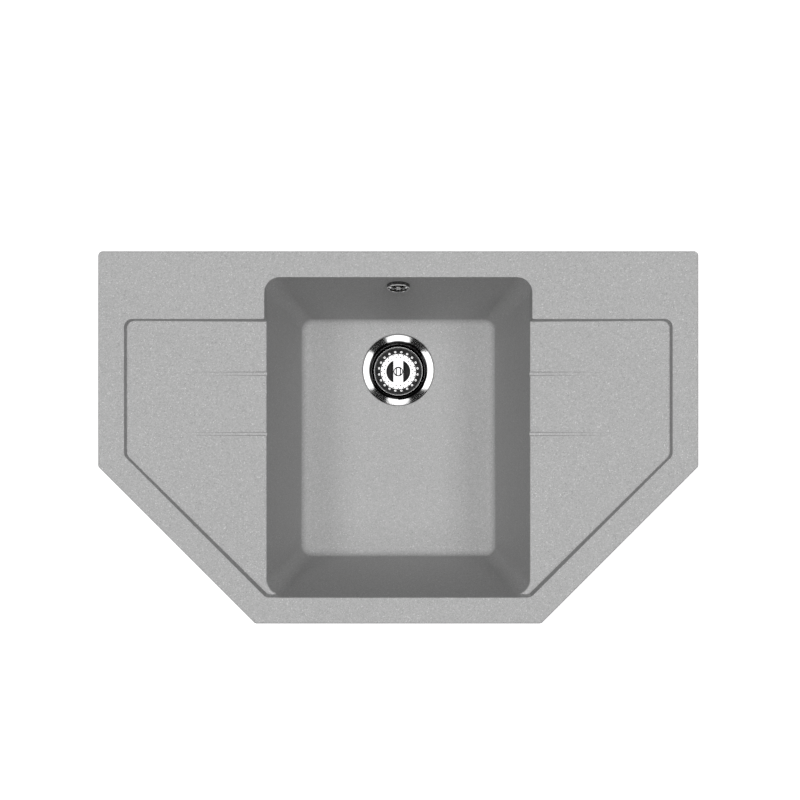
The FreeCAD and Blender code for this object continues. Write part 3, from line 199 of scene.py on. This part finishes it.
def painted_edge_shade(made):
    """Painted shade on the rim's edge, the drainers' flanks and the grooves, chosen by how far each
    face tilts from level.
    """
    upward = made.axes(made.facing)[2]
    not_upright = made.span(upward, 0.05, 0.20, 0, 1)
    flank = made.product(made.span(upward, 0.45, 0.93, 1, 0), not_upright)
    x, y, z = made.axes(made.place)
    across, along = made.maths("ABSOLUTE", x), made.maths("ABSOLUTE", y)
    beside_bowl = made.larger(made.above(across, BOWL_HALF_LENGTH, 0.2 * MM),
                              made.above(along, BOWL_HALF_WIDTH, 0.2 * MM))
    on_deck = made.product(made.above(z, BELOW_GROOVES_Z, 0.1 * MM), beside_bowl)
    slanted = made.product(made.maths("SUBTRACT", across, y), math.sqrt(0.5))
    past_edge = made.larger(made.maths("SUBTRACT", across, RIM_HALF_LENGTH),
                            made.maths("SUBTRACT", along, RIM_HALF_WIDTH))
    past_edge = made.larger(past_edge, made.maths("SUBTRACT", slanted, SLANT_FROM_ORIGIN))
    edge = made.product(made.above(past_edge, -1.8 * MM, 0.4 * MM), not_upright)
    return made.larger(made.product(flank, on_deck), edge)


def composite():
    """Mid-grey granite composite: fine quartz grains in resin, a few of them pale or dark."""
    made = Surface("granite_composite")
    tone, pick = made.grains(1080)
    fine, sheen = made.grains(2600)
    body = made.ramp(tone, [(0.0, 0.355), (0.3, 0.408), (0.7, 0.460), (1.0, 0.530)])
    resin = made.ramp(fine, [(0.0, 0.05), (1.0, 0.3)])
    colour = made.blend("MIX", resin, body, grey(0.437))
    pale = made.ramp(pick, [(0.0, 0.0), (0.965, 0.0), (0.985, 1.0)])
    dark = made.ramp(pick, [(0.0, 1.0), (0.02, 1.0), (0.04, 0.0)])
    colour = made.blend("MIX", made.product(pale, 0.7), colour, grey(0.75))
    colour = made.blend("MIX", made.product(dark, 0.6), colour, grey(0.22))
    cloud = made.ramp(made.noise(7, 3), [(0.3, 0.985), (0.7, 1.0)])
    colour = made.blend("MULTIPLY", 1.0, colour, cloud)
    # painted shade: the rim's edge, the drainers' flanks and the grooves darkened to 0.74
    made.colour(made.blend("MULTIPLY", painted_edge_shade(made), colour, grey(0.74)))
    made.roughness(made.span(sheen, 0, 1, 0.5, 0.72))
    made.bump(made.noise(2100, 3), 0.3, 0.08 * MM)
    return made.material


# ---------------------------------------------------------------- metals, plastics and rubber

def dish_painted_shade(made):
    """Painted shade on the dish between its flange and its floor, and a painted shadow on the
    flange's thin outer edge.
    """
    radius = made.from_drain()
    return made.larger(made.band(radius, 14 * MM, 47 * MM, 0.3 * MM),
                       made.band(radius, 56.3 * MM, 60 * MM, 0.2 * MM))


def basket_painted_shade(made):
    """Painted shade on the basket between its flat base and its rolled rim, in place of its dark
    reflection.
    """
    return made.band(made.from_drain(), 29.3 * MM, 37.5 * MM, 0.3 * MM)


def screw_painted_shade(made):
    """Painted shade on the edge of the basket screw's head and on the long sides of its slot."""
    edge = made.band(made.from_drain(), 6.3 * MM, 9 * MM, 0.2 * MM)
    x, y, z = made.axes(made.place)
    across = made.maths("ABSOLUTE", x)
    along = made.maths("ABSOLUTE", made.maths("SUBTRACT", y, DRAIN_Y))
    sides = made.product(made.band(across, 2.3 * MM, 4.2 * MM, 0.2 * MM),
                         made.band(along, -1 * MM, 5.6 * MM, 0.2 * MM))
    return made.larger(edge, sides)


def rosette_painted_shade(made):
    """Painted shade on the rosette's outer side, behind its front edge, as seen square to the bowl's
    wall.
    """
    outer = made.above(made.vector_maths("DISTANCE", made.place, OVERFLOW)["Value"],
                       14.8 * MM, 0.2 * MM)
    square = Vector((0, -math.cos(WALL_LEAN), math.sin(WALL_LEAN)))
    into_bowl = made.vector_maths("DOT_PRODUCT", made.place, square)["Value"]
    wall = square.dot(Vector(OVERFLOW))
    behind = made.span(into_bowl, wall + 4.2 * MM, wall + 4.6 * MM, 1, 0)
    return made.product(outer, behind)


def polished_steel(name="polished_stainless", shade=None, painted_dark_tones=(0.10, 0.30)):
    """Bright polished sheet with faint polishing marks; shade marks the faces given painted shade, a
    darker mottled colour in place of their dark reflections.
    """
    made = Surface(name, metallic=1.0)
    bright = made.ramp(made.noise(60, 2), [(0.3, 0.86), (0.7, 0.90)])
    if shade:
        # painted shade and painted dark reflection on the faces that shade marks
        painted_dark = made.ramp(made.noise(420, 3), [(0.35, painted_dark_tones[0]), (0.65, painted_dark_tones[1])])
        bright = made.blend("MIX", shade(made), bright, painted_dark)
    made.colour(bright)
    made.roughness(made.span(made.noise(500, 3), 0.3, 0.7, 0.058, 0.064))
    made.bump(made.noise(900, 2), 0.02, 0.01 * MM)
    return made.material


def satin_metal(name, tone, tint, rough, thread=None):
    """Turned or plated metal; thread is a pitch and the two heights that it runs between."""
    made = Surface(name, metallic=1.0)
    made.colour(made.ramp(made.noise(300, 3), [(0.3, grey(tone * 0.9, tint)),
                                               (0.7, grey(tone, tint))]))
    made.roughness(made.span(made.noise(900, 3), 0.3, 0.7, rough - 0.07, rough + 0.09))
    if thread:
        made.bump(made.ridges(*thread), 1.0, 0.3 * MM)
    else:
        made.bump(made.noise(1800, 2), 0.15, 0.05 * MM)
    return made.material


def moulded_plastic(name, tone, tint, thread=None):
    """Moulded plastic; thread is a pitch and the two heights that it runs between."""
    made = Surface(name)
    made.colour(made.ramp(made.noise(40, 3), [(0.3, grey(tone * 0.95, tint)),
                                              (0.7, grey(tone, tint))]))
    made.roughness(made.span(made.noise(700, 3), 0.3, 0.7, 0.36, 0.50))
    if thread:
        made.bump(made.ridges(*thread), 1.0, 0.9 * MM)
    else:
        made.bump(made.noise(1500, 2), 0.12, 0.06 * MM)
    return made.material


def dark_rubber():
    made = Surface("dark_rubber")
    made.colour(made.ramp(made.noise(250, 4), [(0.3, 0.018), (0.7, 0.035)]))
    made.roughness(made.span(made.noise(900, 2), 0.3, 0.7, 0.55, 0.75))
    made.bump(made.noise(2200, 2), 0.2, 0.05 * MM)
    return made.material


STAINLESS = (0.62, (1.0, 1.0, 1.01), 0.27)
ZINC = (0.66, (1.0, 1.01, 1.03), 0.34)
BRASS = (0.72, (1.0, 0.76, 0.38), 0.28)
WHITE = (0.80, (1.0, 1.0, 0.985))
NATURAL = (0.72, (1.0, 0.985, 0.93))

OUTLET_THREAD = (2.309 * MM, -281 * MM, -261 * MM)
CENTRE_THREAD = (1.5 * MM, -260 * MM, -237 * MM)
CLAMP_THREAD = (0.8 * MM, -50 * MM, -7 * MM)

FINISHES = {
    "composite": composite(),
    "polished_steel": polished_steel(),
    "plain_steel": satin_metal("turned_stainless", *STAINLESS),
    "zinc_steel": satin_metal("zinc_plate", *ZINC),
    "brass": satin_metal("turned_brass", *BRASS),
    "dark_rubber": dark_rubber(),
    "white_plastic": moulded_plastic("white_polypropylene", *WHITE),
    "nylon": moulded_plastic("natural_nylon", *NATURAL),
}
NODE_FINISHES = {
    # the dish, basket, screw and rosette get painted shade where their masks pick out faces
    "strainer_flange": polished_steel("polished_dish", dish_painted_shade, (0.03, 0.07)),
    "basket_cup": polished_steel("polished_basket", basket_painted_shade),
    "basket_screw": polished_steel("polished_screw", screw_painted_shade, (0.02, 0.05)),
    "overflow_rosette": polished_steel("polished_rosette", rosette_painted_shade),
    "waste_outlet": moulded_plastic("white_thread", *WHITE, OUTLET_THREAD),
    "centre_screw": satin_metal("centre_thread", *STAINLESS, CENTRE_THREAD),
}
CLAMP_FINISH = satin_metal("zinc_thread", *ZINC, CLAMP_THREAD)


def dress_nodes():
    """Give each solid its finish; the bright and the threaded ones get smooth faces."""
    slots = {row["node"]: row["material_slot"] for row in frame["record"]["subparts"]}
    for name, node in nodes.items():
        finish = CLAMP_FINISH if name.startswith("clamp_screw") else NODE_FINISHES.get(name)
        node.data.materials.clear()
        node.data.materials.append(finish or FINISHES[slots[name]])
        if finish or slots[name] == "polished_steel":
            smooth_faces(node)


def smooth_faces(node):
    """Shade curved faces smooth and keep edges of over 28 degrees sharp."""
    tree = bpy.data.node_groups.new("smooth_" + node.name, "GeometryNodeTree")
    for side in ("INPUT", "OUTPUT"):
        tree.interface.new_socket("Geometry", in_out=side, socket_type="NodeSocketGeometry")
    merge = tree.nodes.new("GeometryNodeMergeByDistance")
    merge.inputs["Distance"].default_value = 0.002 * MM
    angle = tree.nodes.new("GeometryNodeInputMeshEdgeAngle")
    sharp = tree.nodes.new("FunctionNodeCompare")
    sharp.inputs["B"].default_value = math.radians(28)
    split = tree.nodes.new("GeometryNodeSplitEdges")
    tree.links.new(angle.outputs["Unsigned Angle"], sharp.inputs["A"])
    tree.links.new(sharp.outputs["Result"], split.inputs["Selection"])
    chain = [tree.nodes.new("NodeGroupInput"), merge, split,
             tree.nodes.new("GeometryNodeSetShadeSmooth"), tree.nodes.new("NodeGroupOutput")]
    for before, after in zip(chain, chain[1:]):
        tree.links.new(before.outputs[0], after.inputs[0])
    node.modifiers.new("smooth_faces", "NODES").node_group = tree


# ---------------------------------------------------------------- pieces

def add_piece(name, shape, finish, body):
    """Link a finished shape, dress it, and let it ride on a body."""
    mesh = bpy.data.meshes.new(name)
    bmesh.ops.recalc_face_normals(shape, faces=shape.faces)
    for face in shape.faces:
        face.smooth = True
    shape.to_mesh(mesh)
    shape.free()
    piece = bpy.data.objects.new(name, mesh)
    bpy.context.scene.collection.objects.link(piece)
    mesh.materials.append(FINISHES[finish])
    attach(piece, body)
    return piece


def basket_eyelets():
    """A burnished eyelet round each hole in the basket's wall."""
    count, circle = 20, 31.9 * MM
    bore, top_radius, foot_radius = 0.8 * MM, 1.75 * MM, 1.9 * MM
    top, foot = BOWL_FLOOR_Z - 21.0 * MM, BOWL_FLOOR_Z - 23.3 * MM
    section = [(bore, foot), (bore, top), (top_radius, top), (foot_radius, foot)]
    shape = bmesh.new()
    for index in range(count):
        angle = math.tau * (index + 0.5) / count
        centre = Vector((circle * math.sin(angle), DRAIN_Y + circle * math.cos(angle), 0))
        corners = [shape.verts.new(centre + Vector((radius, 0, z))) for radius, z in section]
        edges = [shape.edges.new(pair) for pair in zip(corners, corners[1:] + corners[:1])]
        bmesh.ops.spin(shape, geom=corners + edges, cent=centre, axis=(0, 0, 1), dvec=(0, 0, 0),
                       angle=math.tau, steps=20, use_merge=True)
    piece = add_piece("basket_eyelets", shape, "polished_steel", "basket")
    smooth_faces(piece)


HOSE_ROUTE = [(0, 221.44 * MM, -64 * MM), (0, 221.44 * MM, -146.6 * MM),
              (0, 221.44 * MM, -220 * MM), (0, 165.5 * MM, -220 * MM)]


def smooth_route(points):
    """Points along the spline that these points control."""
    curve = bpy.data.curves.new("hose_route", "CURVE")
    curve.dimensions = "3D"
    spline = curve.splines.new("NURBS")
    spline.points.add(len(points) - 1)
    for place, point in zip(points, spline.points):
        point.co = (*place, 1)
    spline.order_u = 3
    spline.use_endpoint_u = True
    spline.resolution_u = 40
    holder = bpy.data.objects.new("hose_route", curve)
    bpy.context.scene.collection.objects.link(holder)
    line = bpy.data.meshes.new_from_object(holder)
    route = [vertex.co.copy() for vertex in line.vertices]
    bpy.data.objects.remove(holder)
    return route


def overflow_hose():
    """Ribbed hose from the elbow's spigot to the waste body's inlet, with its bore."""
    valley, crest, bore = 8.4 * MM, 9.5 * MM, 7 * MM
    plain_end, usual_pitch, steps, bore_rings = 19 * MM, 4 * MM, 8, 40
    route = smooth_route(HOSE_ROUTE)
    marks = [0.0]
    for before, after in zip(route, route[1:]):
        marks.append(marks[-1] + (after - before).length)
    length = marks[-1]
    ribs = int((length - 2 * plain_end) / usual_pitch)
    pitch = (length - 2 * plain_end) / ribs
    stations = [(0.0, valley), (plain_end, valley)]
    for step in range(1, ribs * steps + 1):
        swell = (0.5 - 0.5 * math.cos(math.tau * step / steps)) ** 0.7
        stations.append((plain_end + step * pitch / steps, valley + (crest - valley) * swell))
    stations.append((length, valley))
    stations += [(length * share / bore_rings, bore) for share in range(bore_rings, -1, -1)]
    shape = bmesh.new()
    rings = [hose_ring(shape, route, marks, distance, radius) for distance, radius in stations]
    for ring, following in zip(rings, rings[1:] + rings[:1]):
        bmesh.ops.bridge_loops(shape, edges=ring + following)
    piece = add_piece("corrugated_hose", shape, "white_plastic", "sink")
    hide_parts("overflow_hose")


def hose_ring(shape, route, marks, distance, radius):
    """The edges of a circle across the route at a distance along it."""
    reached = (index for index, mark in enumerate(marks) if mark >= distance - 1e-9)
    index = max(1, next(reached, len(marks) - 1))
    share = (distance - marks[index - 1]) / (marks[index] - marks[index - 1])
    along = (route[index] - route[index - 1]).normalized()
    side = Vector((1, 0, 0))
    turned = Matrix((side, along.cross(side), along)).transposed().to_4x4()
    turned.translation = route[index - 1].lerp(route[index], share)
    ring = bmesh.ops.create_circle(shape, segments=40, radius=radius, matrix=turned)
    return list({edge for vertex in ring["verts"] for edge in vertex.link_edges})


# ---------------------------------------------------------------- studio

CEILING_GLOW = 0.02
PANEL_GLOW = 1.6
PANEL_Z = 2.0
PANELS_MIDDLE_Y = 0.350
PANELS = {
    "overhead_panel": ((0, 0), (0.52, 0.52)),
    "north_panel": ((0, 0.475), (0.31, 0.17)),
    "south_panel": ((0, -0.475), (0.31, 0.17)),
    "east_panel": ((0.445, 0), (0.22, 0.50)),
    "west_panel": ((-0.445, 0), (0.22, 0.58)),
}
OVERHEAD_STRENGTH, OVERHEAD_SPREAD = 1.63, math.radians(12)
STRIP_POWER, STRIP_WIDTH, STRIP_LENGTH = 27.6, 0.72, 2.8
STRIP_HEIGHT, STRIP_ANGLE = 3.0, math.radians(26)
WORLD_FILL = 0.10
FLOOR_TONE, FLOOR_LIFT, FLOOR_SIDE = 0.75, 0.60, 14
IMAGE_SIDE = 800
DECK_PER_PIXEL = 1.2957 * MM
CAMERA_HEIGHT = 839 * MM
SINK_CENTRE_PIXEL = (398.3, 437.4)


def emission(name, strength):
    made = bpy.data.materials.new(name)
    made.use_nodes = True
    tree = made.node_tree
    tree.nodes.clear()
    glow = tree.nodes.new("ShaderNodeEmission")
    glow.inputs["Strength"].default_value = strength
    output = tree.nodes.new("ShaderNodeOutputMaterial")
    tree.links.new(glow.outputs[0], output.inputs["Surface"])
    return made


def stage_plane(name, centre, size, material):
    """A level rectangle; part of the studio, not of the sink."""
    shape = bmesh.new()
    bmesh.ops.create_grid(shape, x_segments=1, y_segments=1, size=0.5)
    bmesh.ops.scale(shape, vec=(size[0], size[1], 1), verts=shape.verts)
    bmesh.ops.translate(shape, vec=centre, verts=shape.verts)
    mesh = bpy.data.meshes.new(name)
    shape.to_mesh(mesh)
    shape.free()
    plane = bpy.data.objects.new(name, mesh)
    bpy.context.scene.collection.objects.link(plane)
    mesh.materials.append(material)
    return plane


def only_in_reflections(plane):
    plane.visible_camera = False
    plane.visible_diffuse = False
    plane.visible_transmission = False
    plane.visible_shadow = False


def reflectors():
    """What the bright steel shows: a dark ceiling with one overhead and four side panels."""
    only_in_reflections(stage_plane("dark_ceiling", (0, PANELS_MIDDLE_Y, PANEL_Z + 0.1), (5, 5),
                                    emission("ceiling_dark", CEILING_GLOW)))
    glow = emission("panel_white", PANEL_GLOW)
    for name, ((x, y), size) in PANELS.items():
        only_in_reflections(stage_plane(name, (x, PANELS_MIDDLE_Y + y, PANEL_Z), size, glow))


def lamps():
    """A soft light straight above and two long strips, left and right of it."""
    overhead = bpy.data.lights.new("overhead_light", "SUN")
    overhead.energy = OVERHEAD_STRENGTH
    overhead.angle = OVERHEAD_SPREAD
    hang_lamp(overhead)
    for side, name in ((-1, "left_strip"), (1, "right_strip")):
        strip = bpy.data.lights.new(name, "AREA")
        strip.shape = "RECTANGLE"
        strip.size, strip.size_y = STRIP_WIDTH, STRIP_LENGTH
        strip.energy = STRIP_POWER
        lamp = hang_lamp(strip)
        lamp.location = (side * STRIP_HEIGHT * math.tan(STRIP_ANGLE), 0, STRIP_HEIGHT)
        lamp.rotation_euler = (0, side * STRIP_ANGLE, 0)


def hang_lamp(light):
    """Link a lamp; its image in the steel is left to the reflecting panels."""
    lamp = bpy.data.objects.new(light.name, light)
    bpy.context.scene.collection.objects.link(lamp)
    lamp.visible_glossy = False
    return lamp


def seen_or_mirrored(tree):
    """One for rays of the camera and for those that metal or glass sends on."""
    path = tree.nodes.new("ShaderNodeLightPath")
    total = path.outputs["Is Camera Ray"]
    for kind in ("Is Glossy Ray", "Is Transmission Ray"):
        either = tree.nodes.new("ShaderNodeMath")
        either.operation = "MAXIMUM"
        tree.links.new(total, either.inputs[0])
        tree.links.new(path.outputs[kind], either.inputs[1])
        total = either.outputs[0]
    return total


def world():
    """White where the camera, metal or glass looks past the sink; dim as a light."""
    made = bpy.data.worlds.new("studio")
    bpy.context.scene.world = made
    made.use_nodes = True
    tree = made.node_tree
    background = tree.nodes["Background"]
    strength = tree.nodes.new("ShaderNodeMapRange")
    tree.links.new(seen_or_mirrored(tree), strength.inputs["Value"])
    strength.inputs["To Min"].default_value = WORLD_FILL
    background.inputs["Color"].default_value = grey(1.0)
    tree.links.new(strength.outputs["Result"], background.inputs["Strength"])


def floor():
    """A floor below the outlet: white apart from the shadow, and clear from underneath."""
    made = bpy.data.materials.new("pale_floor")
    made.use_nodes = True
    tree = made.node_tree
    shader = tree.nodes["Principled BSDF"]
    shader.inputs["Base Color"].default_value = grey(FLOOR_TONE)
    shader.inputs["Roughness"].default_value = 0.9
    lift = tree.nodes.new("ShaderNodeMath")
    lift.operation = "MULTIPLY"
    lift.inputs[1].default_value = FLOOR_LIFT
    tree.links.new(seen_or_mirrored(tree), lift.inputs[0])
    shader.inputs["Emission Color"].default_value = grey(1.0)
    tree.links.new(lift.outputs[0], shader.inputs["Emission Strength"])
    clear = tree.nodes.new("ShaderNodeBsdfTransparent")
    sided = tree.nodes.new("ShaderNodeMixShader")
    face = tree.nodes.new("ShaderNodeNewGeometry")
    tree.links.new(face.outputs["Backfacing"], sided.inputs[0])
    tree.links.new(shader.outputs[0], sided.inputs[1])
    tree.links.new(clear.outputs[0], sided.inputs[2])
    tree.links.new(sided.outputs[0], tree.nodes["Material Output"].inputs["Surface"])
    lowest = cad_box[0].z
    stage_plane("floor", (0, 0, lowest - 1 * MM), (FLOOR_SIDE, FLOOR_SIDE), made)


def camera():
    """Straight above the sink's centre, framed as in the photograph."""
    made = bpy.data.cameras.new("camera")
    thing = bpy.data.objects.new("camera", made)
    bpy.context.scene.collection.objects.link(thing)
    thing.location = (0, 0, DECK_Z + CAMERA_HEIGHT)
    made.sensor_width = 36
    made.lens = made.sensor_width * CAMERA_HEIGHT / (IMAGE_SIDE * DECK_PER_PIXEL)
    made.shift_x = (IMAGE_SIDE / 2 - SINK_CENTRE_PIXEL[0]) / IMAGE_SIDE
    made.shift_y = (SINK_CENTRE_PIXEL[1] - IMAGE_SIDE / 2) / IMAGE_SIDE
    made.clip_start = 0.01
    bpy.context.scene.camera = thing


bpy.context.scene.view_settings.view_transform = "Standard"
dress_nodes()
basket_eyelets()
overflow_hose()
world()
lamps()
reflectors()
floor()
camera()
